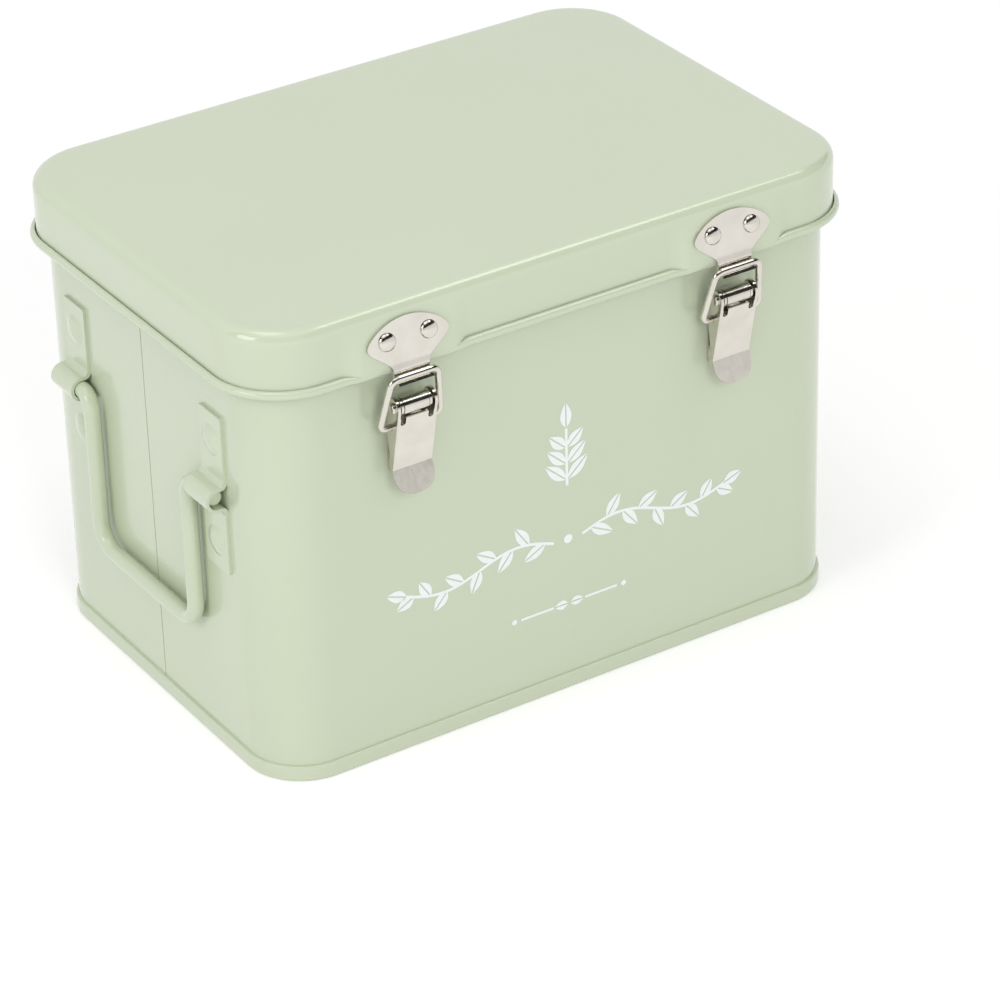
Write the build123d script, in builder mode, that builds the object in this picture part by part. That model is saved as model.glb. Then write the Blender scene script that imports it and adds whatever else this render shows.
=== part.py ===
from build123d import *
from math import asin, atan2, cos, degrees, hypot, radians, sin, tan
import os

# A painted sheet-steel storage box with a hinged lid. Two nickel-plated toggle latches close
# the front, two cranked hinges carry the lid at the rear, and a wire handle hangs at each end.
# Millimetres. +Z is up, -Y is the front, and the origin is the middle of the base, on the table.

# ---- Sheet-steel shell ----
body_width = 200.0        # outside the wall, along X
body_depth = 136.0        # outside the wall, along Y
total_height = 148.0      # table to the lid's roof
lid_height = 20.0         # parting line to the lid's roof
corner_radius = 18.0      # upright corners, outside the wall
sheet = 0.8               # steel thickness of wall, base and lid
rim_height = 5.0          # folded seam round the base
rim_stand = 1.0           # how far the seam stands out from the wall
foot_round = 0.8          # roundover of the seam, below
fold_round = 0.6          # and above
floor_height = 4.0        # underside of the raised floor
rim_curl = 0.9            # radius of the curl round the wall's top edge
rim_gap = 0.7             # lid roof to the wall's curled edge
lap_width = 6.0           # inner lap of the wall's side seam
seam_groove = 0.35        # width and depth of the line that the side seam shows

# ---- Lid ----
skirt_gap = 2.6           # wall to the inside of the lid's skirt
roof_radius = 4.5         # roundover between roof and skirt
bead_radius = 1.6         # outside radius of the curl along the skirt's lower edge
bead_turn = 75.0          # how far past level the curl is rolled, degrees
pad_width = 29.0          # flat pads pressed out of the skirt under catches and hinges
pad_top_drop = 3.5        # lid roof to the pads' upper edge
pad_proud = 0.15          # how far the pads stand past the curl, outward and down
pad_slope = 24.0          # draft of the pads' sides, degrees
pad_edge = 1.3            # roundover of the pads
fitting_spacing = 110.0   # between the two latches, and between the two hinges

# ---- Rivets ----
rivet_shank = 2.6
rivet_head = 5.4
rivet_dome = 1.4
rivet_tail = 4.0
rivet_tail_height = 0.6
bracket_rivet_head = 9.6
bracket_rivet_dome = 1.2

# ---- Toggle latches ----
plate_sheet = 0.9         # latch and catch plate thickness
catch_half_width = 13.4   # at the lobes, before they are rounded
catch_arch = 6.0          # rivet line to the top of the catch plate
catch_lobe_drop = 0.4     # rivet line down to the lobes' tips
catch_lobe_round = 2.8
catch_sweep = 4.0         # hollow bend between a lobe and the neck
catch_neck_drop = 6.0     # rivet line down to where the neck begins
catch_drop = 10.0         # lid roof to the rivet line
catch_rivet_spacing = 13.0
hook_width = 11.6
hook_radius = 1.25        # inside the hook's trough
hook_lip = 35.0           # how far the trough is rolled up past its lowest point, degrees
bail_wire = 2.0
bail_top_half = 7.5       # wire centre lines, half width at the catch
bail_foot_half = 10.0     # and at the lever
bail_end_gap = 0.25       # how far the bent ends reach inside the lever's cheeks
bail_top_bend = 2.6
bail_foot_bend = 1.9
hook_drop = 0.8           # parting line to the hooked bar
pivot_stand = 6.3         # lever pivot, out from the wall
pivot_below_bar = 9.7
foot_stand = 4.5          # where the bail enters the lever, out from the wall
foot_below_pivot = 6.9
lever_width = 13.0
lever_ear = 3.0           # cheek radius round the pivot
lever_foot_ear = 2.0      # cheek radius round the bail's ends
crease_stand = 4.9        # outer face of the lever at the crease
crease_below_pivot = 20.7
face_below_pivot = 2.8    # top edge of the lever's face
slot_width = 1.7
slot_centre = 4.55
slot_depth = 2.4
tab_length = 8.0
tab_flare = 24.0          # degrees from upright
tab_corner = 5.4
tab_root = 0.6            # how far the tab reaches up into the crease
pin_diameter = 2.2
pin_clearance = 0.1
pin_head = 3.4
pin_head_height = 0.8
pin_head_round = 0.5
barrel_radius = 2.6
barrel_width = 8.0
tongue_sink = 0.15        # how far the tongue's outer face runs inside the barrel's
base_ear_radius = 2.5
base_ear_outer = 5.0      # outer face of the base's ears, from the latch's middle
base_ear_sheet = 0.8
base_width = 10.4
base_corner = 1.5
base_top_drop = 4.0       # pivot to the top of the base plate
base_length = 20.0
base_rivet_drop = 12.5    # pivot to the base's rivets
base_rivet_spacing = 5.6
base_rivet_head = 4.6
base_rivet_dome = 1.0

# ---- Hinges ----
leaf_sheet = 1.0
leaf_width = 26.0
leaf_corner = 3.0         # upper corners of the lid leaf
knuckle_radius = 2.4
hinge_pin = 2.6
knuckle_clearance = 0.3   # knuckle to the lid's pad
hinge_drop = 0.5          # parting line to the hinge pin
knuckle_span = 22.0
centre_knuckle = 10.0
knuckle_gap = 0.25
lid_leaf_top = 13.0       # above the hinge pin
body_leaf_length = 19.0
crank_drop = 8.0          # where the body leaf leaves the wall, below the pin
crank_rise = 3.0
crank_bend = 1.5
hinge_rivet_spacing = 16.0
lid_rivet_rise = 9.3
body_rivet_drop = 17.5
stop_ear_rise = 0.6       # how far the body leaf rises past the pin, as a stop for the lid leaf

# ---- End handles ----
handle_wire = 5.0
handle_half_width = 28.5
handle_drop = 50.0
handle_shoulder = 5.0     # bend radius at the top
handle_corner = 8.0       # and at the bottom
handle_height = 88.5
handle_gap = 0.7          # handle wire to the end wall
handle_end_round = 0.8
bracket_half_spacing = 40.0
bracket_width = 12.5
bracket_length = 51.0
bracket_sheet = 1.0
bracket_bore_gap = 0.3
bracket_rivet_spacing = 33.0
bracket_bend = 2.0
bracket_corner = 1.0
handle_end_reach = 4.5    # past the middle of the bracket

# ---- Modelling allowances ----
cut_reach = 4.0           # how far a cutting shape runs past what it cuts
hair = 0.01               # tolerance for picking edges by position

# ---- Derived ----
half_width = body_width / 2
half_depth = body_depth / 2
lid_bottom = total_height - lid_height
wall_top = total_height - sheet - rim_gap
skirt_stand = skirt_gap + sheet
bead_centre = skirt_gap + bead_radius
bead_height = lid_bottom + bead_radius
pad_stand = skirt_gap + 2 * bead_radius + pad_proud
pad_rise = pad_stand - skirt_gap
fitting_places = (("left", -fitting_spacing / 2), ("right", fitting_spacing / 2))

bar_stand = pad_stand + plate_sheet + hook_radius
bar_height = lid_bottom - hook_drop
pivot_height = bar_height - pivot_below_bar
foot_height = pivot_height - foot_below_pivot
bail_length = hypot(bar_stand - foot_stand, bar_height - foot_height)
crease_height = pivot_height - crease_below_pivot
catch_rivet_height = total_height - catch_drop
base_rivet_height = pivot_height - base_rivet_drop

hinge_stand = pad_stand + knuckle_radius + knuckle_clearance
hinge_height = lid_bottom - hinge_drop
lid_rivet_height = hinge_height + lid_rivet_rise
body_rivet_height = hinge_height - body_rivet_drop

handle_stand = handle_wire / 2 + handle_gap
bracket_bore = handle_wire / 2 + bracket_bore_gap


def outline(stand):
    """The shell's plan, grown outward from the wall's outer face."""
    return RectangleRounded(body_width + 2 * stand, body_depth + 2 * stand, corner_radius + stand)


def ring_path(stand):
    """The closed path round the shell, at z = 0, that a rolled edge follows."""
    with BuildSketch() as plan:
        outline(stand)
    return plan.sketch.face().outer_wire()


def section_plane(path):
    """A plane across the path's start, with its x axis pointing outward and its y axis up."""
    start = path @ 0
    outward = (path % 0).cross(Vector(0, 0, 1))
    if outward.dot(start) < 0:
        outward = -outward
    return Plane(origin=start, x_dir=outward, z_dir=outward.cross(Vector(0, 0, 1)))


def front_plane(x, stand, height):
    """A plane parallel to the front wall: x across, y up, normal pointing outward."""
    return Plane(origin=(x, -half_depth - stand, height), x_dir=(1, 0, 0), z_dir=(0, -1, 0))


def rear_plane(x, stand, height):
    return Plane(origin=(x, half_depth + stand, height), x_dir=(-1, 0, 0), z_dir=(0, 1, 0))


def end_plane(side, y, stand, height):
    """A plane parallel to an end wall; side is -1 for the left end and 1 for the right."""
    return Plane(origin=(side * (half_width + stand), y, height), x_dir=(0, side, 0), z_dir=(side, 0, 0))


def front_profile(x):
    """A plane across a front fitting: its x axis points out from the wall, its y axis up."""
    return Plane(origin=(x, -half_depth, 0), x_dir=(0, -1, 0), z_dir=(-1, 0, 0))


def rear_profile(x):
    return Plane(origin=(x, half_depth, 0), x_dir=(0, 1, 0), z_dir=(1, 0, 0))


def end_profile(side, y):
    return Plane(origin=(side * half_width, y, 0), x_dir=(side, 0, 0), z_dir=(0, -side, 0))


def rivet(head, dome, grip, tail):
    """A set rivet: domed head above z = 0, shank down through the grip, and a flat tail."""
    sphere = ((head / 2) ** 2 + dome**2) / (2 * dome)
    with BuildPart() as body:
        with Locations((0, 0, dome - sphere)):
            Sphere(sphere)
        split(bisect_by=Plane.XY)
        with Locations((0, 0, -grip / 2)):
            Cylinder(rivet_shank / 2, grip)
        with Locations((0, 0, -grip - rivet_tail_height / 2)):
            Cylinder(tail / 2, rivet_tail_height)
    return body.part


def save(part, name):
    part.label = name
    export_step(part, f"parts/{name}.step")


os.makedirs("parts", exist_ok=True)

# ---- Where the rivets sit ----
catch_rivets_at = [front_plane(x + dx, pad_stand + plate_sheet, catch_rivet_height)
                   for name, x in fitting_places
                   for dx in (-catch_rivet_spacing / 2, catch_rivet_spacing / 2)]
base_rivets_at = [front_plane(x + dx, plate_sheet, base_rivet_height)
                  for name, x in fitting_places
                  for dx in (-base_rivet_spacing / 2, base_rivet_spacing / 2)]
lid_rivets_at = [rear_plane(x + dx, pad_stand + leaf_sheet, lid_rivet_height)
                 for name, x in fitting_places
                 for dx in (-hinge_rivet_spacing / 2, hinge_rivet_spacing / 2)]
body_rivets_at = [rear_plane(x + dx, leaf_sheet, body_rivet_height)
                  for name, x in fitting_places
                  for dx in (-hinge_rivet_spacing / 2, hinge_rivet_spacing / 2)]
bracket_rivets_at = [end_plane(side, y, bracket_sheet, handle_height + dz)
                     for side in (-1, 1)
                     for y in (-bracket_half_spacing, bracket_half_spacing)
                     for dz in (-bracket_rivet_spacing / 2, bracket_rivet_spacing / 2)]

# ---- Base panel: a raised floor whose edge is folded round the foot of the wall ----
with BuildPart() as base_panel:
    with BuildSketch():
        outline(rim_stand)
    extrude(amount=rim_height)
    fillet(base_panel.faces().sort_by(Axis.Z)[0].edges(), foot_round)
    fillet(base_panel.faces().sort_by(Axis.Z)[-1].edges(), fold_round)
    with BuildSketch(Plane.XY.offset(sheet)):
        outline(0)
        offset(amount=-sheet, mode=Mode.SUBTRACT)
    extrude(amount=rim_height, mode=Mode.SUBTRACT)
    with BuildSketch():
        outline(-2 * sheet)
    extrude(amount=floor_height, mode=Mode.SUBTRACT)
    with BuildSketch(Plane.XY.offset(floor_height + sheet)):
        outline(-sheet)
    extrude(amount=rim_height, mode=Mode.SUBTRACT)
save(base_panel.part, "base_panel")

# ---- Body wall: one wrapped sheet, lapped at the left end, with a curled top edge ----
curl_path = ring_path(rim_curl - sheet)
with BuildPart() as wall_curl:
    with BuildSketch(section_plane(curl_path)):
        Circle(rim_curl)
    sweep(path=curl_path)

with BuildPart() as body_wall:
    with BuildSketch(Plane.XY.offset(sheet)):
        outline(0)
        offset(amount=-sheet, mode=Mode.SUBTRACT)
    extrude(amount=wall_top - rim_curl - sheet)
    with Locations((0, 0, wall_top - rim_curl)):
        add(wall_curl.part)
    with Locations((-half_width + sheet * 1.5, lap_width / 2, (rim_height + wall_top - 2 * rim_curl) / 2)):
        Box(sheet, lap_width, wall_top - 2 * rim_curl - rim_height)
    with Locations((-half_width, 0, (rim_height + wall_top - 2 * rim_curl) / 2)):
        Box(2 * seam_groove, seam_groove, wall_top - 2 * rim_curl - rim_height, mode=Mode.SUBTRACT)
    with Locations(*base_rivets_at, *body_rivets_at, *bracket_rivets_at):
        Hole(rivet_shank / 2, depth=4 * sheet)
save(body_wall.part, "body_wall")

# ---- Lid: a pressed pan with a rolled lower edge and four pressed pads ----
bead_path = ring_path(bead_centre)
bead_inner = bead_radius - sheet
with BuildPart() as lid_bead:
    with BuildSketch(section_plane(bead_path)):
        Circle(bead_radius)
        Circle(bead_inner, mode=Mode.SUBTRACT)
        with BuildLine():
            Polyline((0, 0), (cut_reach * cos(radians(bead_turn)), cut_reach * sin(radians(bead_turn))),
                     (-cut_reach, cut_reach), (-cut_reach, 0), close=True)
        make_face(mode=Mode.SUBTRACT)
    sweep(path=bead_path)

with BuildPart() as pad_block:
    slope_run = pad_rise * tan(radians(pad_slope))
    with BuildSketch(front_plane(0, skirt_gap, total_height - pad_top_drop - lid_height)):
        Rectangle(pad_width + 2 * slope_run, 2 * (lid_height + slope_run))
    extrude(amount=pad_rise, taper=pad_slope)
    fillet(pad_block.faces().sort_by(Axis.Y)[0].edges(), pad_edge)
    split(bisect_by=Plane.XY.offset(lid_bottom - pad_proud))

with BuildPart() as pad_hollow:
    slope_run = (pad_rise + sheet) * tan(radians(pad_slope)) - sheet / cos(radians(pad_slope))
    with BuildSketch(front_plane(0, skirt_gap - sheet, total_height - pad_top_drop - lid_height)):
        Rectangle(pad_width + 2 * slope_run, 2 * (lid_height + slope_run))
    extrude(amount=pad_rise, taper=pad_slope)
    fillet(pad_hollow.faces().sort_by(Axis.Y)[0].edges(), pad_edge - sheet)

with BuildPart() as lid_hollow:
    with BuildSketch(Plane.XY.offset(bead_height)):
        outline(skirt_gap)
    extrude(amount=total_height - sheet - bead_height)
    fillet(lid_hollow.faces().sort_by(Axis.Z)[-1].edges(), roof_radius - sheet)

pad_places = [Location((x, 0, 0), (0, 0, turn)) for name, x in fitting_places for turn in (0, 180)]
with BuildPart() as lid_shell:
    with BuildSketch(Plane.XY.offset(bead_height)):
        outline(skirt_stand)
    extrude(amount=total_height - bead_height)
    fillet(lid_shell.faces().sort_by(Axis.Z)[-1].edges(), roof_radius)
    add(lid_hollow.part, mode=Mode.SUBTRACT)
    with Locations((0, 0, bead_height)):
        add(lid_bead.part)
    with Locations(*pad_places):
        add(pad_block.part)
    with Locations(*pad_places):
        add(pad_hollow.part, mode=Mode.SUBTRACT)
    with Locations(*catch_rivets_at, *lid_rivets_at):
        Hole(rivet_shank / 2, depth=4 * sheet)
save(lid_shell.part, "lid_shell")

# ---- Rivet groups ----
catch_rivet = rivet(rivet_head, rivet_dome, plate_sheet + sheet, rivet_tail)
base_rivet = rivet(base_rivet_head, base_rivet_dome, plate_sheet + sheet, rivet_tail)
hinge_rivet = rivet(rivet_head, rivet_dome, leaf_sheet + sheet, rivet_tail)
bracket_rivet = rivet(bracket_rivet_head, bracket_rivet_dome, bracket_sheet + sheet, rivet_tail)
rivet_groups = (("catch_rivets", catch_rivet, catch_rivets_at),
                ("latch_base_rivets", base_rivet, base_rivets_at),
                ("hinge_lid_rivets", hinge_rivet, lid_rivets_at),
                ("hinge_body_rivets", hinge_rivet, body_rivets_at),
                ("bracket_rivets", bracket_rivet, bracket_rivets_at))
for group_name, one_rivet, places in rivet_groups:
    with BuildPart() as rivet_group:
        with Locations(*places):
            add(one_rivet)
    save(rivet_group.part, group_name)

# ---- Toggle latches ----
crease_centre = crease_stand - plate_sheet / 2
crease_to_pivot = hypot(pivot_stand - crease_centre, crease_below_pivot)
face_lean = (atan2(pivot_stand - crease_centre, crease_below_pivot)
             + asin((lever_ear - plate_sheet / 2) / crease_to_pivot))
face_normal = Vector(cos(face_lean), -sin(face_lean))
face_upward = Vector(sin(face_lean), cos(face_lean))
crease = Vector(crease_centre, crease_height)
face_start = crease + face_normal * (plate_sheet / 2)
face_length = (pivot_height - face_below_pivot - face_start.Y) / cos(face_lean)
face_inner_foot = crease - face_normal * (plate_sheet / 2) + face_upward * plate_sheet
face_top = face_start + face_upward * face_length
flare = radians(tab_flare)
bail_lean = atan2(bar_stand - foot_stand, bar_height - foot_height)

pivot = Vector(pivot_stand, pivot_height)
foot = Vector(foot_stand, foot_height)
base_top = pivot_height - base_top_drop
tongue_foot = Vector(plate_sheet / 2, base_top - base_top_drop)
tongue_radius = barrel_radius - plate_sheet / 2 - tongue_sink
tongue_reach = (pivot - tongue_foot).length
tongue_angle = atan2(pivot.Y - tongue_foot.Y, pivot.X - tongue_foot.X) - asin(tongue_radius / tongue_reach)
tongue_length = (tongue_reach**2 - tongue_radius**2) ** 0.5
tongue_middle = tongue_foot + Vector(cos(tongue_angle), sin(tongue_angle)) * (tongue_length / 2)
for side, x in fitting_places:
    # Catch plate: riveted to the lid's pad, its neck rolled into an upturned hook.
    with BuildPart() as catch_plate:
        with BuildSketch(front_plane(x, pad_stand, catch_rivet_height)) as catch_outline:
            with BuildLine():
                ThreePointArc((catch_half_width, -catch_lobe_drop), (0, catch_arch),
                              (-catch_half_width, -catch_lobe_drop))
                Polyline((-catch_half_width, -catch_lobe_drop), (-hook_width / 2, -catch_neck_drop),
                         (-hook_width / 2, bar_height - catch_rivet_height),
                         (hook_width / 2, bar_height - catch_rivet_height),
                         (hook_width / 2, -catch_neck_drop), (catch_half_width, -catch_lobe_drop))
            make_face()
            neck_corners, lobe_corners = catch_outline.vertices().group_by(Axis.Y)[1:]
            fillet(neck_corners, catch_sweep)
            fillet(lobe_corners, catch_lobe_round)
        extrude(amount=plate_sheet)
        with BuildSketch(front_profile(x)):
            with Locations((bar_stand, bar_height)):
                Circle(hook_radius + plate_sheet)
                Circle(hook_radius, mode=Mode.SUBTRACT)
            with BuildLine():
                Polyline((bar_stand, bar_height), (bar_stand - cut_reach, bar_height),
                         (bar_stand - cut_reach, bar_height + cut_reach),
                         (bar_stand + cut_reach, bar_height + cut_reach),
                         (bar_stand + cut_reach, bar_height - cut_reach * tan(radians(90 - hook_lip))),
                         close=True)
            make_face(mode=Mode.SUBTRACT)
        extrude(amount=hook_width / 2, both=True)
        with Locations(*[p for p in catch_rivets_at if abs(p.origin.X - x) < catch_rivet_spacing]):
            Hole(rivet_shank / 2, depth=2 * plate_sheet)
    save(catch_plate.part, f"catch_plate_{side}")

    # Latch base: a plate on the wall, two folded ears, and a tongue curled round the pivot.
    with BuildPart() as latch_base:
        with BuildSketch(front_plane(x, 0, base_top - base_length / 2)):
            RectangleRounded(base_width, base_length, base_corner)
        extrude(amount=plate_sheet)
        with BuildSketch(front_profile(x)):
            with Locations(tongue_middle):
                Rectangle(tongue_length, plate_sheet, rotation=degrees(tongue_angle))
            with Locations(pivot):
                Circle(barrel_radius)
                Circle(pin_diameter / 2 + pin_clearance, mode=Mode.SUBTRACT)
        extrude(amount=barrel_width / 2, both=True)
        for ear in (-1, 1):
            with BuildSketch(front_profile(x + ear * (base_ear_outer - base_ear_sheet / 2))):
                with Locations(pivot):
                    Circle(base_ear_radius)
                with Locations((plate_sheet / 2, base_top - (base_corner + base_top_drop) / 2)):
                    Rectangle(plate_sheet / 2, base_top_drop - base_corner)
                make_hull()
                with Locations(pivot):
                    Circle(pin_diameter / 2 + pin_clearance, mode=Mode.SUBTRACT)
            extrude(amount=base_ear_sheet / 2, both=True)
        with Locations(*[p for p in base_rivets_at if abs(p.origin.X - x) < base_rivet_spacing]):
            Hole(rivet_shank / 2, depth=2 * plate_sheet)
    save(latch_base.part, f"latch_base_{side}")

    # Lever: a folded channel, tapering to a crease and a flared thumb tab.
    face_plane = Plane(origin=(x, -half_depth - face_start.X, face_start.Y), x_dir=(1, 0, 0),
                       z_dir=(0, -cos(face_lean), -sin(face_lean)))
    tab_plane = Plane(origin=face_plane.origin, x_dir=(-1, 0, 0), z_dir=(0, -cos(flare), sin(flare)))
    with BuildPart() as latch_lever:
        with BuildSketch(front_profile(x)):
            with Locations(pivot):
                Circle(lever_ear)
            with Locations(foot):
                Circle(lever_foot_ear)
            with Locations(crease):
                Circle(plate_sheet / 2)
            make_hull()
            with Locations(pivot):
                Circle(pin_diameter / 2, mode=Mode.SUBTRACT)
            with Locations(foot):
                Circle(bail_wire / 2 + pin_clearance, mode=Mode.SUBTRACT)
        extrude(amount=lever_width / 2, both=True)
        with BuildSketch(front_profile(x)):
            with BuildLine():
                Polyline(face_inner_foot, face_top - face_normal * plate_sheet,
                         face_top + face_normal * lever_ear,
                         (pivot.X + 2 * lever_ear, pivot.Y + 2 * lever_ear), (0, pivot.Y + 2 * lever_ear),
                         (0, face_inner_foot.Y), close=True)
            make_face()
        extrude(amount=lever_width / 2 - plate_sheet, both=True, mode=Mode.SUBTRACT)
        with BuildSketch(face_plane):
            with Locations((-slot_centre, face_length), (slot_centre, face_length)):
                SlotOverall(2 * slot_depth, slot_width, rotation=90)
        extrude(amount=-2 * plate_sheet, mode=Mode.SUBTRACT)
        with BuildSketch(tab_plane):
            with BuildLine():
                FilletPolyline((lever_width / 2, -tab_root), (lever_width / 2, tab_length),
                               (-lever_width / 2, tab_length), (-lever_width / 2, -tab_root),
                               radius=tab_corner)
                Line((-lever_width / 2, -tab_root), (lever_width / 2, -tab_root))
            make_face()
        extrude(amount=-plate_sheet)
    save(latch_lever.part, f"latch_lever_{side}")

    with BuildPart() as latch_pivot_pin:
        with BuildSketch(front_profile(x)):
            with Locations(pivot):
                Circle(pin_diameter / 2)
        extrude(amount=lever_width / 2, both=True)
        for end in (-1, 1):
            with BuildSketch(front_profile(x + end * (lever_width + pin_head_height) / 2)):
                with Locations(pivot):
                    Circle(pin_head / 2)
            extrude(amount=pin_head_height / 2, both=True)
        rims = latch_pivot_pin.faces().sort_by(Axis.X)
        fillet(rims[0].edges() + rims[-1].edges(), pin_head_round)
    save(latch_pivot_pin.part, f"latch_pivot_pin_{side}")

    # Bail: one bent wire, hooked over the catch, its ends turned in through the lever's cheeks.
    bail_end = lever_width / 2 - plate_sheet - bail_end_gap
    bail_plane = Plane(origin=(x, -half_depth - foot_stand, foot_height), x_dir=(1, 0, 0),
                       z_dir=(0, -cos(bail_lean), -sin(bail_lean)))
    with BuildPart() as latch_bail:
        with BuildLine(bail_plane) as bail_route:
            FilletPolyline((-bail_end, 0), (-bail_foot_half, 0), (-bail_top_half, bail_length),
                           (bail_top_half, bail_length), (bail_foot_half, 0), (bail_end, 0),
                           radius=[bail_foot_bend, bail_top_bend, bail_top_bend, bail_foot_bend])
        with BuildSketch(Plane(origin=bail_route.line @ 0, z_dir=bail_route.line % 0)):
            Circle(bail_wire / 2)
        sweep(path=bail_route.line)
    save(latch_bail.part, f"latch_bail_{side}")

# ---- Hinges ----
outer_leaf = hinge_stand + knuckle_radius - leaf_sheet / 2
for side, x in fitting_places:
    with BuildPart() as lid_leaf:
        with BuildSketch(rear_plane(x, pad_stand, hinge_height)):
            with Locations((0, (lid_leaf_top - stop_ear_rise) / 2)):
                Rectangle(leaf_width, lid_leaf_top + stop_ear_rise)
        extrude(amount=leaf_sheet)
        with BuildSketch(rear_profile(x)):
            with Locations((hinge_stand, hinge_height)):
                Circle(knuckle_radius)
        extrude(amount=knuckle_span / 2, both=True)
        with BuildSketch(rear_profile(x)):
            with Locations((hinge_stand, hinge_height)):
                Rectangle(2 * knuckle_radius + cut_reach, 2 * (knuckle_radius + knuckle_clearance))
        extrude(amount=centre_knuckle / 2 + knuckle_gap, both=True, mode=Mode.SUBTRACT)
        with BuildSketch(rear_profile(x)):
            with Locations((hinge_stand, hinge_height)):
                Circle(hinge_pin / 2 + pin_clearance)
        extrude(amount=leaf_width, both=True, mode=Mode.SUBTRACT)
        fillet(lid_leaf.edges().filter_by(Axis.Y).group_by(Axis.Z)[-1], leaf_corner)
        with Locations(*[p for p in lid_rivets_at if abs(p.origin.X - x) < hinge_rivet_spacing]):
            Hole(rivet_shank / 2, depth=2 * leaf_sheet)
    save(lid_leaf.part, f"hinge_leaf_lid_{side}")

    with BuildPart() as body_leaf:
        with BuildSketch(rear_profile(x)):
            with BuildLine():
                FilletPolyline((leaf_sheet / 2, hinge_height - crank_drop - body_leaf_length),
                               (leaf_sheet / 2, hinge_height - crank_drop),
                               (outer_leaf, hinge_height - crank_drop + crank_rise),
                               (outer_leaf, hinge_height + stop_ear_rise), radius=crank_bend)
            trace(line_width=leaf_sheet)
        extrude(amount=leaf_width / 2, both=True)
        gap_middle = (knuckle_span + centre_knuckle) / 4
        with Locations(*[(x + s * gap_middle, half_depth + hinge_stand, hinge_height) for s in (-1, 1)]):
            Box((knuckle_span - centre_knuckle) / 2 + 2 * knuckle_gap, 3 * knuckle_radius,
                2 * (knuckle_radius + knuckle_clearance), mode=Mode.SUBTRACT)
        with BuildSketch(rear_profile(x)):
            with Locations((hinge_stand, hinge_height)):
                Circle(knuckle_radius)
        extrude(amount=centre_knuckle / 2, both=True)
        with BuildSketch(rear_profile(x)):
            with Locations((hinge_stand, hinge_height)):
                Circle(hinge_pin / 2)
        extrude(amount=centre_knuckle, both=True, mode=Mode.SUBTRACT)
        with Locations(*[p for p in body_rivets_at if abs(p.origin.X - x) < hinge_rivet_spacing]):
            Hole(rivet_shank / 2, depth=2 * leaf_sheet)
    save(body_leaf.part, f"hinge_leaf_body_{side}")

    with BuildPart() as hinge_pin_part:
        with BuildSketch(rear_profile(x)):
            with Locations((hinge_stand, hinge_height)):
                Circle(hinge_pin / 2)
        extrude(amount=knuckle_span / 2, both=True)
    save(hinge_pin_part.part, f"hinge_pin_{side}")

# ---- End handles and their brackets ----
for side, name in ((-1, "left"), (1, "right")):
    with BuildPart() as handle:
        with BuildLine(end_plane(side, 0, handle_stand, handle_height)) as handle_route:
            reach = bracket_half_spacing + handle_end_reach
            FilletPolyline((-reach, 0), (-handle_half_width, 0), (-handle_half_width, -handle_drop),
                           (handle_half_width, -handle_drop), (handle_half_width, 0), (reach, 0),
                           radius=[handle_shoulder, handle_corner, handle_corner, handle_shoulder])
        with BuildSketch(Plane(origin=handle_route.line @ 0, z_dir=handle_route.line % 0)):
            Circle(handle_wire / 2)
        sweep(path=handle_route.line)
        fillet(handle.faces().filter_by(Axis.Y).edges(), handle_end_round)
    save(handle.part, f"handle_{name}")

    for place, y in (("front", -bracket_half_spacing), ("rear", bracket_half_spacing)):
        with BuildPart() as bracket:
            with BuildSketch(end_profile(side, y)):
                with Locations((bracket_sheet / 2, handle_height)):
                    Rectangle(bracket_sheet, bracket_length)
                with Locations((handle_stand, handle_height)):
                    Circle(bracket_bore + bracket_sheet)
                with Locations((handle_stand / 2, handle_height)):
                    Rectangle(handle_stand, 2 * (bracket_bore + bracket_sheet))
                with Locations((handle_stand, handle_height)):
                    Circle(bracket_bore, mode=Mode.SUBTRACT)
                with Locations((0, handle_height)):
                    Rectangle(2 * handle_stand, 2 * bracket_bore, mode=Mode.SUBTRACT)
            extrude(amount=bracket_width / 2, both=True)
            bends = bracket.edges().filter_by(Axis.Y)
            inside = [e for e in bends if abs(abs(e.center().X) - half_width) < hair
                      and abs(e.center().Z - handle_height) < bracket_bore + hair]
            outside = [e for e in bends if abs(abs(e.center().X) - half_width - bracket_sheet) < hair
                       and abs(e.center().Z - handle_height) < bracket_length / 2 - hair]
            fillet(outside, bracket_bend)
            fillet(inside, bracket_bend)
            corners = bracket.edges().filter_by(Axis.X).group_by(Axis.Z)
            fillet(corners[0] + corners[-1], bracket_corner)
            with Locations(*[p for p in bracket_rivets_at
                             if p.origin.X * side > 0 and abs(p.origin.Y - y) < bracket_width]):
                Hole(rivet_shank / 2, depth=2 * bracket_sheet)
        save(bracket.part, f"handle_bracket_{name}_{place}")
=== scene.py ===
from math import cos, pi, radians, sin

import bmesh
import bpy
from mathutils import Matrix, Vector


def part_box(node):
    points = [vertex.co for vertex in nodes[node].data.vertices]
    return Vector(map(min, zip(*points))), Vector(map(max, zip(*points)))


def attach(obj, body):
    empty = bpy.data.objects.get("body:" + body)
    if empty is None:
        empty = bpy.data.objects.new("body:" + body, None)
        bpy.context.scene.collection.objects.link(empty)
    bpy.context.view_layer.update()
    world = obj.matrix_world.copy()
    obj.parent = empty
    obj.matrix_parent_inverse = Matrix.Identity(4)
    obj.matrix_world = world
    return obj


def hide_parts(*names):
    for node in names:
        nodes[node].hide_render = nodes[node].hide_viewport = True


# A painted steel seed box with nickel latches, on a white studio floor. Metres, +Z up, -Y the front.

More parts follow.
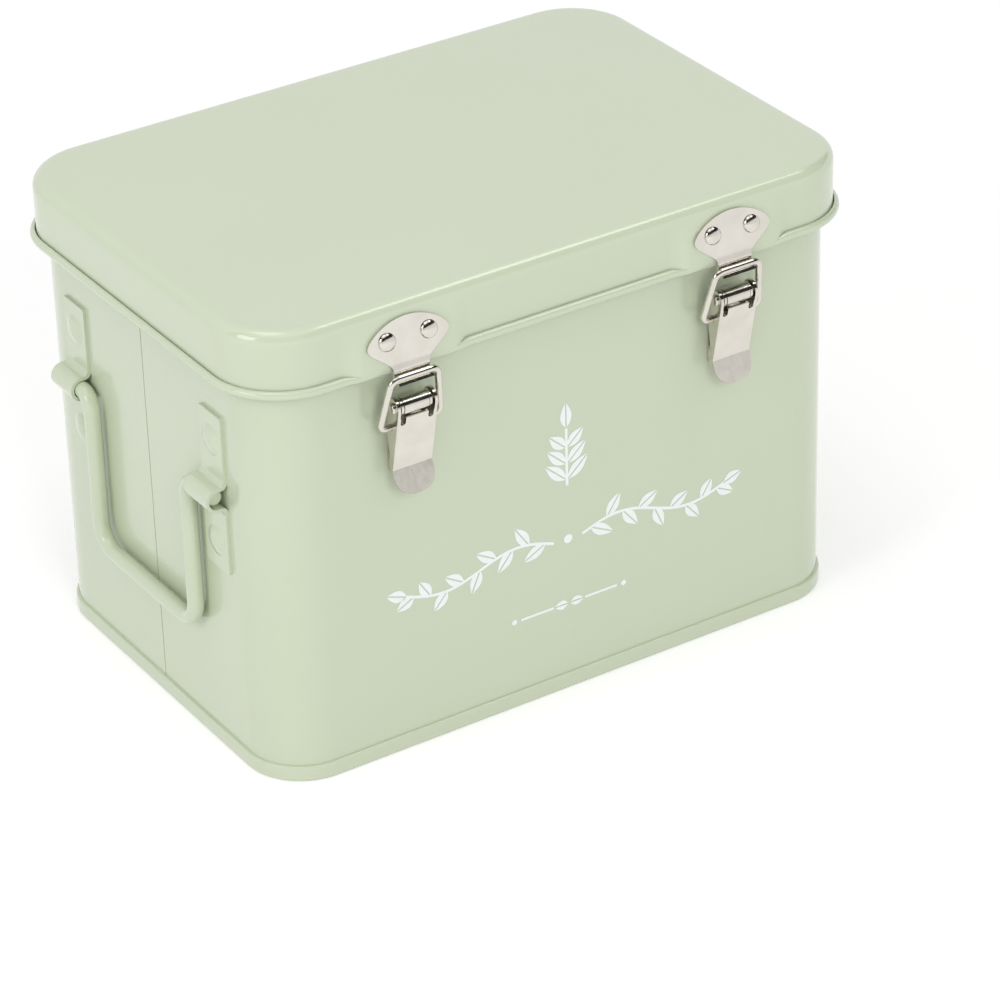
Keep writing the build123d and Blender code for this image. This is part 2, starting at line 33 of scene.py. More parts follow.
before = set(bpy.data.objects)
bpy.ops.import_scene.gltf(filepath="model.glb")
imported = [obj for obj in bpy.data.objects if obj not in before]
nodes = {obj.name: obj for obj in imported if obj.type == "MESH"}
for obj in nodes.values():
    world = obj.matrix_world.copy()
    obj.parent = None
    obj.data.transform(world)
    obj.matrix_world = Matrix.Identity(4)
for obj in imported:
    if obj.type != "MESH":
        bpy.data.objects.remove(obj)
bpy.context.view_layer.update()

MM = 0.001

# ---- Camera, at the photograph's viewing angle ----
CAMERA_AZIMUTH = -32.32      # degrees
CAMERA_ELEVATION = 30.40
CAMERA_ROLL = -1.64
CAMERA_DISTANCE = 1.2939
CAMERA_AIM = Vector((0, 0, 0.0643))
CAMERA_ASIDE = 0.01757
CAMERA_RISE = -0.02821
CAMERA_LENS = 153.83          # millimetres
CAMERA_SENSOR = 36.0

# ---- Colours, linear ----
SAGE = (0.590, 0.655, 0.487)
SAGE_SHADE = (0.584, 0.649, 0.481)
NICKEL = (0.700, 0.672, 0.615)
NICKEL_WARM = (0.640, 0.610, 0.550)
INK = (0.920, 0.945, 0.955)
INK_THIN = (0.880, 0.915, 0.920)
FLOOR_WHITE = 0.86
SCREEN_DARK = (0.02, 0.02, 0.018)

# ---- Floor and light ----
FLOOR_SIZE = 8.0
FLOOR_DROP = 0.00005          # keeps the floor's face clear of the box's foot
WORLD_LEVEL = 0.60
FLOOR_GLOW = 0.30             # added to the floor where the camera or a reflection sees it
SCREEN_RADIUS = 2.2           # dark screen in front, seen by reflections only
SCREEN_REACH = 110.0          # degrees to either side of the front
SCREEN_HEIGHTS = (0.66, 2.9)
SCREEN_STEPS = 24

# ---- Printed ornament, millimetres on the front wall: x across, z up ----
INK_THICKNESS = 0.04
INK_STEP = 0.008              # between strokes and the leaves that cross them
LEAF_LAYERS = 3               # leaves take turns on these, so that crossing ones don't share a face
STEM_WIDTH = 0.95
LEAF_LENGTH = 8.4
LEAF_WIDTH = 3.5
LEAF_FULLNESS = 0.85          # below 1, a leaf is widest nearer its foot
LEAF_STEPS = 12
VEIN_GAP = 0.45
DOT_POINTS = 24
SPRIG_FOOT = 69.0
SPRIG_HEIGHT = 19.0
SPRIG_STEPS = 12
SPRIG_PAIRS = 3
SPRIG_SPREAD = 48.0           # between a leaf and the stem, degrees
GARLAND_HEIGHT = 51.0
GARLAND_START = 5.0
GARLAND_REACH = 56.0
GARLAND_WAVE = 3.0
GARLAND_STEPS = 48
GARLAND_LEAVES = 9
GARLAND_SPREAD = 46.0
GARLAND_DOT = 1.5             # radius of the dot between its halves
RULE_HEIGHT = 29.0
RULE_START = 5.5
RULE_REACH = 17.0
RULE_WIDTH = 0.8
RULE_DOT = 0.9
RULE_DOT_GAP = 2.4            # from the rule's end to the middle of its dot
RULE_LEAF_START = 0.5

# ---- Lid and catches as pressed sheet, millimetres ----
WALL_WIDTH = 200.0
WALL_DEPTH = 136.0
WALL_CORNER = 18.0
LID_ROOF = 148.0
LID_FOOT = 128.0
LID_SHEET = 0.8
SKIRT_OUT = 3.5               # from the wall's face to the skirt's
ROOF_BEND = 3.8
ROOF_MARGIN = 2.0             # flat ring between the roof's middle and its bend
CURL_RADIUS = 1.35
CURL_END = 95.0               # where the rolled edge stops, degrees above level
BROW_RISE = 0.4               # curl's middle to where its front is flat under a pad
FITTING_X = 55.0
PAD_FLAT = 14.8               # half width over which the curl is pressed flat
PAD_FADE = 21.0               # and where it is whole again
FRONT_SHOULDER = 130.8        # height at which the front pads stand out fully
REAR_SHOULDER = 141.4
REAR_PAD_OUT = 5.95           # from the wall's face
CATCH_SHEET = 0.9
CATCH_TOP = 4.0               # below the roof
# the plate's half width at each distance down from its top
CATCH_OUTLINE = ((0.0, 0.0), (0.25, 2.9), (0.8, 5.2), (1.6, 7.3), (2.6, 9.2), (3.7, 10.8), (4.8, 12.0),
                 (5.8, 12.8), (6.8, 13.2), (7.7, 13.1), (8.6, 12.5), (9.5, 11.5), (10.7, 10.0), (11.9, 8.4),
                 (13.0, 7.1), (14.0, 6.2), (15.0, 5.85), (16.0, 5.8))
CATCH_CROWN_CUTS = (0.04, 0.12, 0.25, 0.45, 0.7, 1.0)
CATCH_CUT_START = 1.4         # below the crown's close cuts, the plate is cut at even steps
CATCH_CUT_STEP = 0.42
CATCH_CUTS = 27
CATCH_CUT_GAP = 0.2           # least distance from the last even cut to the first one in the bend
CATCH_COLUMNS = 12
HOOK_OUT = 8.1                # the hooked bar's centre, out from the wall
HOOK_HEIGHT = 127.2
HOOK_INSIDE = 1.25            # inner radius of the hook
HOOK_NECK = 1.6               # straight run above the hook
HOOK_TURN = 305.0             # where the hook's lip ends, degrees
RIVET_X = 6.8                 # to either side of the plate's middle
RIVET_DOWN = 6.3              # along the plate from its top
RIVET_RADIUS = 2.75
RIVET_RISE = 1.45
RIVET_SINK = 0.05             # how far a head's rim sits in the plate
RIVET_SIDES = 32
# rings of a rivet: height as a share of the rise, radius as a share of the head's
RIVET_DOME = ((0.0, 1.0), (0.16, 1.0), (0.42, 0.95), (0.66, 0.82), (0.84, 0.62), (0.95, 0.36), (0.99, 0.16))
RIVET_SHANK = 0.45
RIVET_TAIL = ((-0.4, 0.60), (-0.3, 0.70), (0.0, 0.72))
RIM_BEVEL = 0.16
CORNER_STEPS = 16
PAD_STEP = 1.0                # between the lid's sections along the front and the rear
PLAIN_STEP = 10.0             # and along the ends


def new_material(name):
    material = bpy.data.materials.new(name)
    material.use_nodes = True
    tree = material.node_tree
    return material, tree, tree.nodes["Principled BSDF"]


def add_noise(tree, scale, detail=2.0, roughness=0.5, stretch=(1, 1, 1)):
    """A noise value that is fixed in the object, at so many features a metre."""
    place = tree.nodes.new("ShaderNodeTexCoord")
    mapping = tree.nodes.new("ShaderNodeMapping")
    mapping.inputs["Scale"].default_value = stretch
    noise = tree.nodes.new("ShaderNodeTexNoise")
    noise.inputs["Scale"].default_value = scale
    noise.inputs["Detail"].default_value = detail
    noise.inputs["Roughness"].default_value = roughness
    tree.links.new(place.outputs["Object"], mapping.inputs["Vector"])
    tree.links.new(mapping.outputs["Vector"], noise.inputs["Vector"])
    return noise.outputs["Fac"]


def add_range(tree, value, low, high):
    spread = tree.nodes.new("ShaderNodeMapRange")
    spread.inputs["From Min"].default_value = 0.3
    spread.inputs["From Max"].default_value = 0.7
    spread.inputs["To Min"].default_value = low
    spread.inputs["To Max"].default_value = high
    tree.links.new(value, spread.inputs["Value"])
    return spread.outputs["Result"]


def add_blend(tree, value, first, second):
    blend = tree.nodes.new("ShaderNodeMix")
    blend.data_type = "RGBA"
    blend.inputs["A"].default_value = (*first, 1)
    blend.inputs["B"].default_value = (*second, 1)
    tree.links.new(value, blend.inputs["Factor"])
    return blend.outputs["Result"]


def add_bump(tree, value, depth, normal=None):
    bump = tree.nodes.new("ShaderNodeBump")
    bump.inputs["Strength"].default_value = 1.0
    bump.inputs["Distance"].default_value = depth
    tree.links.new(value, bump.inputs["Height"])
    if normal is not None:
        tree.links.new(normal, bump.inputs["Normal"])
    return bump.outputs["Normal"]


def powder_coat():
    """Glossy pale green paint with a faint orange peel."""
    material, tree, shader = new_material("sage_powder_coat")
    tone = add_range(tree, add_noise(tree, 22, detail=3), 0.0, 1.0)
    tree.links.new(add_blend(tree, tone, SAGE, SAGE_SHADE), shader.inputs["Base Color"])
    tree.links.new(add_range(tree, add_noise(tree, 40), 0.20, 0.22), shader.inputs["Roughness"])
    peel = add_bump(tree, add_noise(tree, 420, detail=0), 0.0000015)
    tree.links.new(peel, shader.inputs["Normal"])
    shader.inputs["Specular IOR Level"].default_value = 0.5
    shader.inputs["Coat Weight"].default_value = 0.60
    shader.inputs["Coat Roughness"].default_value = 0.06
    return material


def nickel_plate(name, grain):
    """Bright nickel over pressed steel, with grain along the given direction."""
    material, tree, shader = new_material(name)
    tone = add_range(tree, add_noise(tree, 160, detail=4), 0.0, 1.0)
    tree.links.new(add_blend(tree, tone, NICKEL, NICKEL_WARM), shader.inputs["Base Color"])
    streaks = add_noise(tree, 900, detail=3, stretch=grain)
    tree.links.new(add_range(tree, streaks, 0.15, 0.21), shader.inputs["Roughness"])
    fine = add_bump(tree, streaks, 0.000002)
    dents = add_bump(tree, add_noise(tree, 120, detail=0), 0.000010, fine)
    tree.links.new(dents, shader.inputs["Normal"])
    shader.inputs["Metallic"].default_value = 1.0
    return material


def printed_ink():
    material, tree, shader = new_material("white_print")
    cover = add_range(tree, add_noise(tree, 700, detail=4), 0.0, 1.0)
    tree.links.new(add_blend(tree, cover, INK, INK_THIN), shader.inputs["Base Color"])
    tree.links.new(add_range(tree, add_noise(tree, 400), 0.42, 0.52), shader.inputs["Roughness"])
    return material


paint = powder_coat()
sheet_nickel = nickel_plate("nickel_sheet", (1.0, 1.0, 0.15))
wire_nickel = nickel_plate("nickel_wire", (0.3, 0.3, 0.3))
turned_nickel = nickel_plate("nickel_rivets", (1.0, 1.0, 1.0))
ink = printed_ink()

WIRES = ("latch_bail", "latch_pivot_pin", "hinge_pin")
RIVETS = ("catch_rivets", "latch_base_rivets", "hinge_lid_rivets", "hinge_body_rivets")
SHEETS = ("catch_plate", "latch_base", "latch_lever", "hinge_leaf")


def finish_of(name):
    """The material of a carried-over node, by what it is made of."""
    if name in RIVETS:
        return turned_nickel
    if name.startswith(WIRES):
        return wire_nickel
    if name.startswith(SHEETS):
        return sheet_nickel
    return paint


for name, part in nodes.items():
    part.data.materials.clear()
    part.data.materials.append(finish_of(name))


# ---- The ornament: a leaf sprig over a garland, and a short rule, printed in white ----
def stroke(points, width):
    """A flat line of even width along the points, as a list of four-cornered faces."""
    faces = []
    sides = []
    for i, point in enumerate(points):
        before = points[max(i - 1, 0)]
        after = points[min(i + 1, len(points) - 1)]
        along = (after - before).normalized()
        across = Vector((-along.y, along.x)) * (width / 2)
        sides.append((point + across, point - across))
    for (a, b), (c, d) in zip(sides, sides[1:]):
        faces.append([a, b, d, c])
    return faces


def leaf(foot, angle, length, width=LEAF_WIDTH):
    """A pointed leaf in two halves, with its vein left open between them."""
    along = Vector((cos(angle), sin(angle)))
    across = Vector((-along.y, along.x))
    halves = []
    for side in (-1, 1):
        inner = side * VEIN_GAP / 2
        edge = []
        for i in range(LEAF_STEPS + 1):
            t = i / LEAF_STEPS
            swell = width / 2 * sin(pi * t ** LEAF_FULLNESS)
            edge.append(foot + along * (length * t) + across * (inner + side * swell))
        halves.append(edge)
    return halves


def dot(centre, radius):
    angles = [2 * pi * i / DOT_POINTS for i in range(DOT_POINTS)]
    return [[centre + Vector((cos(a), sin(a))) * radius for a in angles]]


def sprig():
    """An upright stem with pairs of leaves that shorten upward, and one leaf at its tip."""
    foot = Vector((0, SPRIG_FOOT))
    stem = [foot + Vector((0, SPRIG_HEIGHT * i / SPRIG_STEPS)) for i in range(SPRIG_STEPS + 1)]
    faces = stroke(stem, STEM_WIDTH)
    for pair in range(SPRIG_PAIRS):
        rise = SPRIG_HEIGHT * (0.12 + 0.28 * pair)
        size = LEAF_LENGTH * (1.10 - 0.12 * pair)
        for side in (-1, 1):
            angle = radians(90 - side * SPRIG_SPREAD)
            start = foot + Vector((side * STEM_WIDTH / 2, rise))
            faces += leaf(start, angle, size)
    faces += leaf(foot + Vector((0, SPRIG_HEIGHT + 0.4)), radians(90), LEAF_LENGTH * 0.95)
    return faces


def garland(side):
    """Half a garland: a waved stem with leaves on alternate sides and one at its tip."""
    reach = GARLAND_REACH - GARLAND_START

    def at(t):
        out = GARLAND_START + reach * t
        return Vector((side * out, GARLAND_HEIGHT + GARLAND_WAVE * sin(2 * pi * t)))

    stem = [at(i / GARLAND_STEPS) for i in range(GARLAND_STEPS + 1)]
    faces = stroke(stem, STEM_WIDTH)
    for i in range(GARLAND_LEAVES):
        t = (i + 0.55) / GARLAND_LEAVES
        ahead = at(t + 0.01) - at(t - 0.01)
        heading = Vector((1, 0)).angle_signed(ahead) * -1
        turn = radians(GARLAND_SPREAD) * (1 if i % 2 else -1) * side
        faces += leaf(at(t), heading + turn, LEAF_LENGTH * (1.02 - 0.03 * i))
    tip = at(1.0)
    faces += leaf(tip, Vector((1, 0)).angle_signed(Vector((side, 0.35))) * -1, LEAF_LENGTH * 0.8)
    return faces


def ornament():
    faces = sprig() + garland(-1) + garland(1)
    faces += dot(Vector((0, GARLAND_HEIGHT)), GARLAND_DOT)
    for side in (-1, 1):
        inner = Vector((side * RULE_START, RULE_HEIGHT))
        outer = Vector((side * RULE_REACH, RULE_HEIGHT))
        faces += stroke([inner, outer], RULE_WIDTH)
        faces += dot(outer + Vector((side * RULE_DOT_GAP, 0)), RULE_DOT)
        leaf_foot = Vector((side * RULE_LEAF_START, RULE_HEIGHT))
        faces += leaf(leaf_foot, radians(90 - side * 90), LEAF_LENGTH * 0.55, LEAF_WIDTH * 0.75)
    return faces


def print_on_front(name, faces, wall):
    """A thin layer of ink on the front wall, from faces given in millimetres."""
    shape = bmesh.new()
    for i, face in enumerate(faces):
        is_stroke = len(face) == 4
        layer = 0 if is_stroke else 1 + i % LEAF_LAYERS
        front = -wall - (INK_THICKNESS + INK_STEP * layer) * MM
        corners = [shape.verts.new((p.x * MM, front, p.y * MM)) for p in face]
        shape.faces.new(corners)
    bmesh.ops.recalc_face_normals(shape, faces=shape.faces)
    for face in shape.faces:
        if face.normal.y > 0:
            face.normal_flip()
    mesh = bpy.data.meshes.new(name)
    shape.to_mesh(mesh)
    shape.free()
    piece = bpy.data.objects.new(name, mesh)
    bpy.context.scene.collection.objects.link(piece)
    mesh.materials.append(ink)
    return piece


# A latch base's back lies on the front wall.
front_wall = -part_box("latch_base_left")[1].y
front_print = print_on_front("front_ornament", ornament(), front_wall)
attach(front_print, "box")


# ---- Shaped sheet metal ----
def build_piece(name, shape, material, crease=50):
    """An object from a bmesh, smooth except where its faces meet sharply."""
    bmesh.ops.recalc_face_normals(shape, faces=shape.faces)
    mesh = bpy.data.meshes.new(name)
    shape.to_mesh(mesh)
    shape.free()
    mesh.polygons.foreach_set("use_smooth", [True] * len(mesh.polygons))
    mesh.set_sharp_from_angle(angle=radians(crease))
    mesh.materials.append(material)
    piece = bpy.data.objects.new(name, mesh)
    bpy.context.scene.collection.objects.link(piece)
    return piece


def ease(value):
    value = min(max(value, 0.0), 1.0)
    return value * value * (3 - 2 * value)


def between(first, second, count):
    """Points from the first towards the second, the last one left out."""
    return [first.lerp(second, i / count) for i in range(count)]


def oval(centre, across, rise, start, end, count):
    """Points on an oval arc; x is outward and y is up."""
    angles = [radians(start + (end - start) * i / count) for i in range(count + 1)]
    return [centre + Vector((across * cos(a), rise * sin(a))) for a in angles]


curl_centre = Vector((SKIRT_OUT - LID_SHEET + CURL_RADIUS, LID_FOOT + CURL_RADIUS))
curl_out = curl_centre.x + CURL_RADIUS
roof_bend_in = SKIRT_OUT - ROOF_BEND


def lid_section(face, shoulder_height, curl_closed):
    """The lid's cut edge from the roof's outside round to its underside: x outward, y up.

    Both kinds have equally many points, so that one can run into the other.
    """
    bend = Vector((roof_bend_in, LID_ROOF - ROOF_BEND))
    points = [Vector((roof_bend_in - ROOF_MARGIN, LID_ROOF))]
    points += oval(bend, ROOF_BEND, ROOF_BEND, 90, 0, 8)
    inner_top = Vector((SKIRT_OUT - LID_SHEET, bend.y))
    turn = 360 + CURL_END
    if curl_closed:
        shoulder = Vector((face, shoulder_height))
        brow = Vector((face, curl_centre.y + BROW_RISE))
        inner_foot = Vector((face - LID_SHEET, curl_centre.y))
        inner_knee = Vector((face - LID_SHEET, shoulder_height))
        points += between(Vector((SKIRT_OUT, bend.y)), shoulder, 7)[1:]
        points += between(shoulder, brow, 13)
        points += between(brow, Vector((face, curl_centre.y)), 6)
        fold = Vector((face - LID_SHEET / 2, curl_centre.y))
        points += oval(fold, LID_SHEET / 2, CURL_RADIUS, 360, 180, 13)
        points += [inner_foot.lerp(inner_knee, 0.5), inner_knee, inner_knee.lerp(inner_top, 0.5)]
    else:
        inner_foot = Vector((SKIRT_OUT - LID_SHEET, curl_centre.y))
        points += between(Vector((SKIRT_OUT, bend.y)), Vector((SKIRT_OUT, curl_centre.y)), 8)[1:7]
        points += oval(curl_centre, CURL_RADIUS - LID_SHEET, CURL_RADIUS - LID_SHEET, 180, turn, 12)
        points += oval(curl_centre, CURL_RADIUS, CURL_RADIUS, turn, 360, 6)[:6]
        points += oval(curl_centre, CURL_RADIUS, CURL_RADIUS, 360, 180, 13)
        points += between(inner_foot, inner_top, 4)[1:]
    points += oval(bend, ROOF_BEND - LID_SHEET, ROOF_BEND - LID_SHEET, 0, 90, 6)
    points.append(Vector((roof_bend_in - ROOF_MARGIN, LID_ROOF - LID_SHEET)))
    return points


def lid_stations():
    """Round the wall: where, facing which way, which pad section applies, and how fully."""
    half_x = WALL_WIDTH / 2 - WALL_CORNER
    half_y = WALL_DEPTH / 2 - WALL_CORNER
    found = []

    def straight(start, end, facing, pad, step):
        count = round((end - start).length / step)
        for i in range(1, count):
            point = start.lerp(end, i / count)
            off = abs(abs(point.x) - FITTING_X)
            share = ease((PAD_FADE - off) / (PAD_FADE - PAD_FLAT)) if pad else 0.0
            found.append((point, facing, pad, share))

    def corner(centre, start):
        for i in range(CORNER_STEPS + 1):
            angle = radians(start + 90 * i / CORNER_STEPS)
            facing = Vector((cos(angle), sin(angle)))
            found.append((centre + facing * WALL_CORNER, facing, None, 0.0))

    reach_x = half_x + WALL_CORNER
    reach_y = half_y + WALL_CORNER
    straight(Vector((-half_x, -reach_y)), Vector((half_x, -reach_y)), Vector((0, -1)), "front", PAD_STEP)
    corner(Vector((half_x, -half_y)), -90)
    straight(Vector((reach_x, -half_y)), Vector((reach_x, half_y)), Vector((1, 0)), None, PLAIN_STEP)
    corner(Vector((half_x, half_y)), 0)
    straight(Vector((half_x, reach_y)), Vector((-half_x, reach_y)), Vector((0, 1)), "rear", PAD_STEP)
    corner(Vector((-half_x, half_y)), 90)
    straight(Vector((-reach_x, half_y)), Vector((-reach_x, -half_y)), Vector((-1, 0)), None, PLAIN_STEP)
    corner(Vector((-half_x, -half_y)), 180)
    return found


def pressed_lid():
    """The lid as one sheet: its curl runs out smoothly where the catches and hinges sit."""
    plain = lid_section(SKIRT_OUT, curl_centre.y, False)
    pads = {"front": lid_section(curl_out, FRONT_SHOULDER, True),
            "rear": lid_section(REAR_PAD_OUT, REAR_SHOULDER, True)}
    shape = bmesh.new()
    rings = []
    for point, facing, pad, share in lid_stations():
        section = plain
        if pad:
            section = [a.lerp(b, share) for a, b in zip(plain, pads[pad])]
        ring = []
        for out in section:
            place = point + facing * out.x
            ring.append(shape.verts.new((place.x * MM, place.y * MM, out.y * MM)))
        rings.append(ring)
    for i, ring in enumerate(rings):
        after = rings[(i + 1) % len(rings)]
        for j in range(len(ring) - 1):
            shape.faces.new((ring[j], ring[j + 1], after[j + 1], after[j]))
    shape.faces.new([ring[0] for ring in rings])
    shape.faces.new([ring[-1] for ring in rings])
    return build_piece("lid_pressing", shape, paint)


def catch_line():
    """The catch plate's middle line from its top to the hook's lip: x outward, y up."""
    lean_top = Vector((SKIRT_OUT, LID_ROOF - ROOF_BEND))
    lean_foot = Vector((curl_out, FRONT_SHOULDER))
    along = (lean_foot - lean_top).normalized()
    off = Vector((-along.y, along.x)) * (CATCH_SHEET / 2)
    start = lean_top + along * (CATCH_TOP - ROOF_BEND) + off
    knee = lean_foot + off
    hook = Vector((HOOK_OUT, HOOK_HEIGHT))
    trough = HOOK_INSIDE + CATCH_SHEET / 2
    points = between(start, knee, 30)
    hook_side = Vector((HOOK_OUT - trough, HOOK_HEIGHT))
    neck = Vector((HOOK_OUT - trough, HOOK_HEIGHT + HOOK_NECK))
    points += between(knee, neck, 4)
    points += between(neck, hook_side, 3)
    points += oval(hook, trough, trough, 180, HOOK_TURN, 12)
    return points


def measure(points):
    """Each point of a line with its distance from the start and its outward direction."""
    gone = 0.0
    measured = []
    for i, point in enumerate(points):
        before = points[max(i - 1, 0)]
        after = points[min(i + 1, len(points) - 1)]
        along = (after - before).normalized()
        if i:
            gone += (point - points[i - 1]).length
        measured.append((gone, point, Vector((-along.y, along.x))))
    return measured


def read_off(table, where):
    for (a, low), (b, high) in zip(table, table[1:]):
        if where <= b:
            return low + (high - low) * (where - a) / (b - a)
    return table[-1][1]


def catch_plate(name, x):
    """A lobed plate that lies on the skirt, bends at its neck and ends in an upturned hook."""
    line = measure(catch_line())
    cuts = [*CATCH_CROWN_CUTS] + [CATCH_CUT_START + CATCH_CUT_STEP * i for i in range(CATCH_CUTS)]
    cuts += [gone for gone, point, out in line if gone > cuts[-1] + CATCH_CUT_GAP]
    track = []
    for down in cuts:
        for (a, start, start_out), (b, end, end_out) in zip(line, line[1:]):
            if a <= down <= b:
                share = (down - a) / (b - a)
                track.append((start.lerp(end, share), start_out.lerp(end_out, share).normalized(),
                              read_off(CATCH_OUTLINE, down)))
                break
    shape = bmesh.new()
    sheets = []
    for side in (0.5, -0.5):
        grid = []
        for point, out, half in track:
            place = point + out * (side * CATCH_SHEET)
            front_y = -(WALL_DEPTH / 2 + place.x)
            row = []
            for j in range(CATCH_COLUMNS + 1):
                across = x + half * (2 * j / CATCH_COLUMNS - 1)
                row.append(shape.verts.new((across * MM, front_y * MM, place.y * MM)))
            grid.append(row)
        sheets.append(grid)
        for upper, lower in zip(grid, grid[1:]):
            for j in range(CATCH_COLUMNS):
                shape.faces.new((upper[j], upper[j + 1], lower[j + 1], lower[j]))
    edges = []
    for grid in sheets:
        left = [row[0] for row in grid]
        right = [row[-1] for row in reversed(grid)]
        edges.append(left + grid[-1][1:-1] + right + grid[0][-2:0:-1])
    front, back = edges
    for i in range(len(front)):
        after = (i + 1) % len(front)
        shape.faces.new((front[i], front[after], back[after], back[i]))
    piece = build_piece(name, shape, sheet_nickel, 60)
    rim = piece.modifiers.new("rim", "BEVEL")
    rim.width = RIM_BEVEL * MM
    rim.segments = 2
    rim.limit_method = "ANGLE"
    rim.angle_limit = radians(60)
    return piece


def catch_rivets(name):
    """Four domed heads, square to the leaning catch plates."""
    line = measure(catch_line())
    seat, out = [(point, normal) for gone, point, normal in line if gone <= RIVET_DOWN][-1]
    outward = Vector((0, -out.x, out.y))
    upward = Vector((0, out.y, out.x))
    tail = -(CATCH_SHEET + LID_SHEET) / RIVET_RISE
    rings = [(tail + rise, spread) for rise, spread in RIVET_TAIL]
    rings += [(tail, RIVET_SHANK), (0.0, RIVET_SHANK), *RIVET_DOME]
    shape = bmesh.new()
    for x in (-FITTING_X - RIVET_X, -FITTING_X + RIVET_X, FITTING_X - RIVET_X, FITTING_X + RIVET_X):
        foot = Vector((x, -(WALL_DEPTH / 2 + seat.x), seat.y)) + outward * (CATCH_SHEET / 2 - RIVET_SINK)
        made = []
        for rise, spread in rings:
            ring = []
            for i in range(RIVET_SIDES):
                angle = 2 * pi * i / RIVET_SIDES
                across = Vector((cos(angle), 0, 0)) + upward * sin(angle)
                ring.append(shape.verts.new((foot + outward * (rise * RIVET_RISE)
                                             + across * (spread * RIVET_RADIUS)) * MM))
            made.append(ring)
        for low, high in zip(made, made[1:]):
            for i in range(RIVET_SIDES):
                after = (i + 1) % RIVET_SIDES
                shape.faces.new((low[i], low[after], high[after], high[i]))
        shape.faces.new(made[0])
        shape.faces.new(made[-1])
    return build_piece(name, shape, turned_nickel, 50)


lid_piece = pressed_lid()
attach(lid_piece, "lid")
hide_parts("lid_shell")
for side, x in (("left", -FITTING_X), ("right", FITTING_X)):
    plate = catch_plate("catch_pressing_" + side, x)
    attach(plate, "lid")
    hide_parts("catch_plate_" + side)
rivet_heads = catch_rivets("catch_rivet_heads")
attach(rivet_heads, "lid")
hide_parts("catch_rivets")


# ---- Floor, world and lights ----
def sees_background(tree):
    """1 where the camera, a reflection or a refraction looks, and 0 for light falling on things."""
    path = tree.nodes.new("ShaderNodeLightPath")
    first = tree.nodes.new("ShaderNodeMath")
    first.operation = "MAXIMUM"
    second = tree.nodes.new("ShaderNodeMath")
    second.operation = "MAXIMUM"
    tree.links.new(path.outputs["Is Camera Ray"], first.inputs[0])
    tree.links.new(path.outputs["Is Glossy Ray"], first.inputs[1])
    tree.links.new(first.outputs[0], second.inputs[0])
    tree.links.new(path.outputs["Is Transmission Ray"], second.inputs[1])
    return second.outputs[0]


def white_floor():
    bpy.ops.mesh.primitive_plane_add(size=FLOOR_SIZE, location=(0, 0, -FLOOR_DROP))
    floor = bpy.context.object
    floor.name = "studio_floor"
    material = bpy.data.materials.new("studio_floor")
    material.use_nodes = True
    tree = material.node_tree
    tree.nodes.clear()
    matt = tree.nodes.new("ShaderNodeBsdfDiffuse")
    matt.inputs["Color"].default_value = (FLOOR_WHITE, FLOOR_WHITE, FLOOR_WHITE, 1)
    glow = tree.nodes.new("ShaderNodeEmission")
    level = tree.nodes.new("ShaderNodeMath")
    level.operation = "MULTIPLY"
    level.inputs[1].default_value = FLOOR_GLOW
    both = tree.nodes.new("ShaderNodeAddShader")
    out = tree.nodes.new("ShaderNodeOutputMaterial")
    tree.links.new(sees_background(tree), level.inputs[0])
    tree.links.new(level.outputs[0], glow.inputs["Strength"])
    tree.links.new(matt.outputs[0], both.inputs[0])
    tree.links.new(glow.outputs[0], both.inputs[1])
    tree.links.new(both.outputs[0], out.inputs["Surface"])
    floor.data.materials.append(material)


def white_world():
    world = bpy.data.worlds.new("studio")
    bpy.context.scene.world = world
    world.use_nodes = True
    tree = world.node_tree
    back = tree.nodes["Background"]
    back.inputs["Color"].default_value = (1, 1, 1, 1)
    level = tree.nodes.new("ShaderNodeMapRange")
    level.inputs["To Min"].default_value = WORLD_LEVEL
    level.inputs["To Max"].default_value = 1.0
    tree.links.new(sees_background(tree), level.inputs["Value"])
    tree.links.new(level.outputs["Result"], back.inputs["Strength"])


def softbox(name, place, width, height, watts, reflected=True):
    """A rectangular lamp that faces the middle of the box, and shows in reflections only if wanted."""
    lamp = bpy.data.lights.new(name, "AREA")
    lamp.shape = "RECTANGLE"
    lamp.size = width
    lamp.size_y = height
    lamp.energy = watts
    holder = bpy.data.objects.new(name, lamp)
    bpy.context.scene.collection.objects.link(holder)
    holder.location = place
    holder.rotation_euler = (CAMERA_AIM - Vector(place)).to_track_quat("-Z", "Y").to_euler()
    holder.visible_glossy = reflected


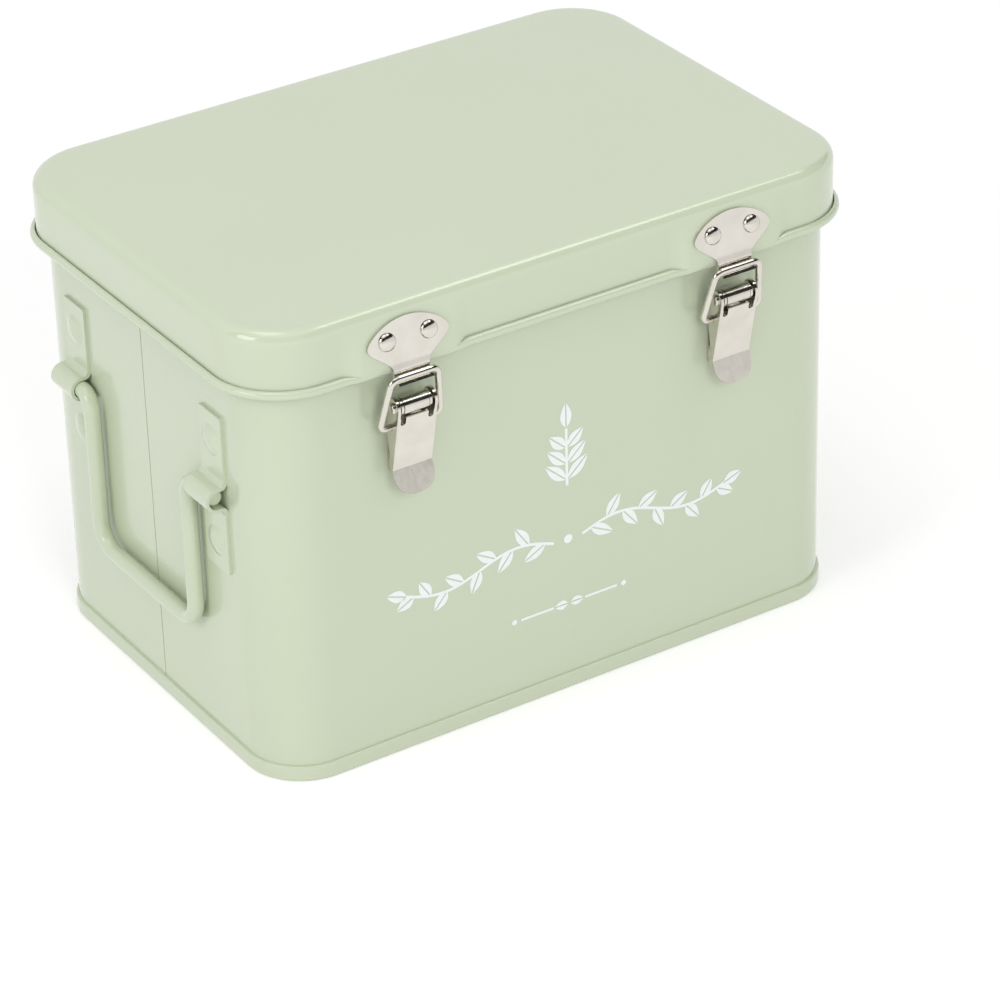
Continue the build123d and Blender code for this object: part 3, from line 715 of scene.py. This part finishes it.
def dark_screen():
    """A dark curved screen in front that only reflections see, so that the metal shows contrast."""
    shape = bmesh.new()
    rings = []
    for height in SCREEN_HEIGHTS:
        ring = []
        for i in range(SCREEN_STEPS + 1):
            angle = radians(-SCREEN_REACH + 2 * SCREEN_REACH * i / SCREEN_STEPS)
            ring.append(shape.verts.new((SCREEN_RADIUS * sin(angle), -SCREEN_RADIUS * cos(angle), height)))
        rings.append(ring)
    low, high = rings
    for i in range(SCREEN_STEPS):
        shape.faces.new((low[i], low[i + 1], high[i + 1], high[i]))
    mesh = bpy.data.meshes.new("dark_screen")
    shape.to_mesh(mesh)
    shape.free()
    screen = bpy.data.objects.new("dark_screen", mesh)
    bpy.context.scene.collection.objects.link(screen)
    material, _, shader = new_material("dark_screen")
    shader.inputs["Base Color"].default_value = (*SCREEN_DARK, 1)
    shader.inputs["Roughness"].default_value = 1.0
    mesh.materials.append(material)
    screen.visible_camera = False
    screen.visible_diffuse = False
    screen.visible_shadow = False


white_floor()
white_world()
dark_screen()
softbox("overhead", (-0.30, 0.05, 1.50), 0.6, 0.5, 2.0)
softbox("edge_light", (0.72, -0.35, 1.45), 0.5, 0.3, 1.6)
softbox("left_side", (-1.30, -0.20, 0.80), 0.6, 0.6, 4.5)
softbox("front_side", (-0.35, -1.50, 0.90), 0.6, 0.6, 7.6, reflected=False)


# ---- Camera ----
def place_camera():
    azimuth = radians(CAMERA_AZIMUTH)
    elevation = radians(CAMERA_ELEVATION)
    roll = radians(CAMERA_ROLL)
    back = Vector((sin(azimuth) * cos(elevation), -cos(azimuth) * cos(elevation), sin(elevation)))
    level_right = (-back).cross(Vector((0, 0, 1))).normalized()
    level_up = level_right.cross(-back)
    right = level_right * cos(roll) + level_up * sin(roll)
    up = level_up * cos(roll) - level_right * sin(roll)
    data = bpy.data.cameras.new("camera")
    data.lens = CAMERA_LENS
    data.sensor_width = CAMERA_SENSOR
    camera = bpy.data.objects.new("camera", data)
    bpy.context.scene.collection.objects.link(camera)
    camera.matrix_world = Matrix((right, up, back)).transposed().to_4x4()
    camera.location = CAMERA_AIM + back * CAMERA_DISTANCE + right * CAMERA_ASIDE + up * CAMERA_RISE
    bpy.context.scene.camera = camera


place_camera()
bpy.context.scene.view_settings.view_transform = "Standard"
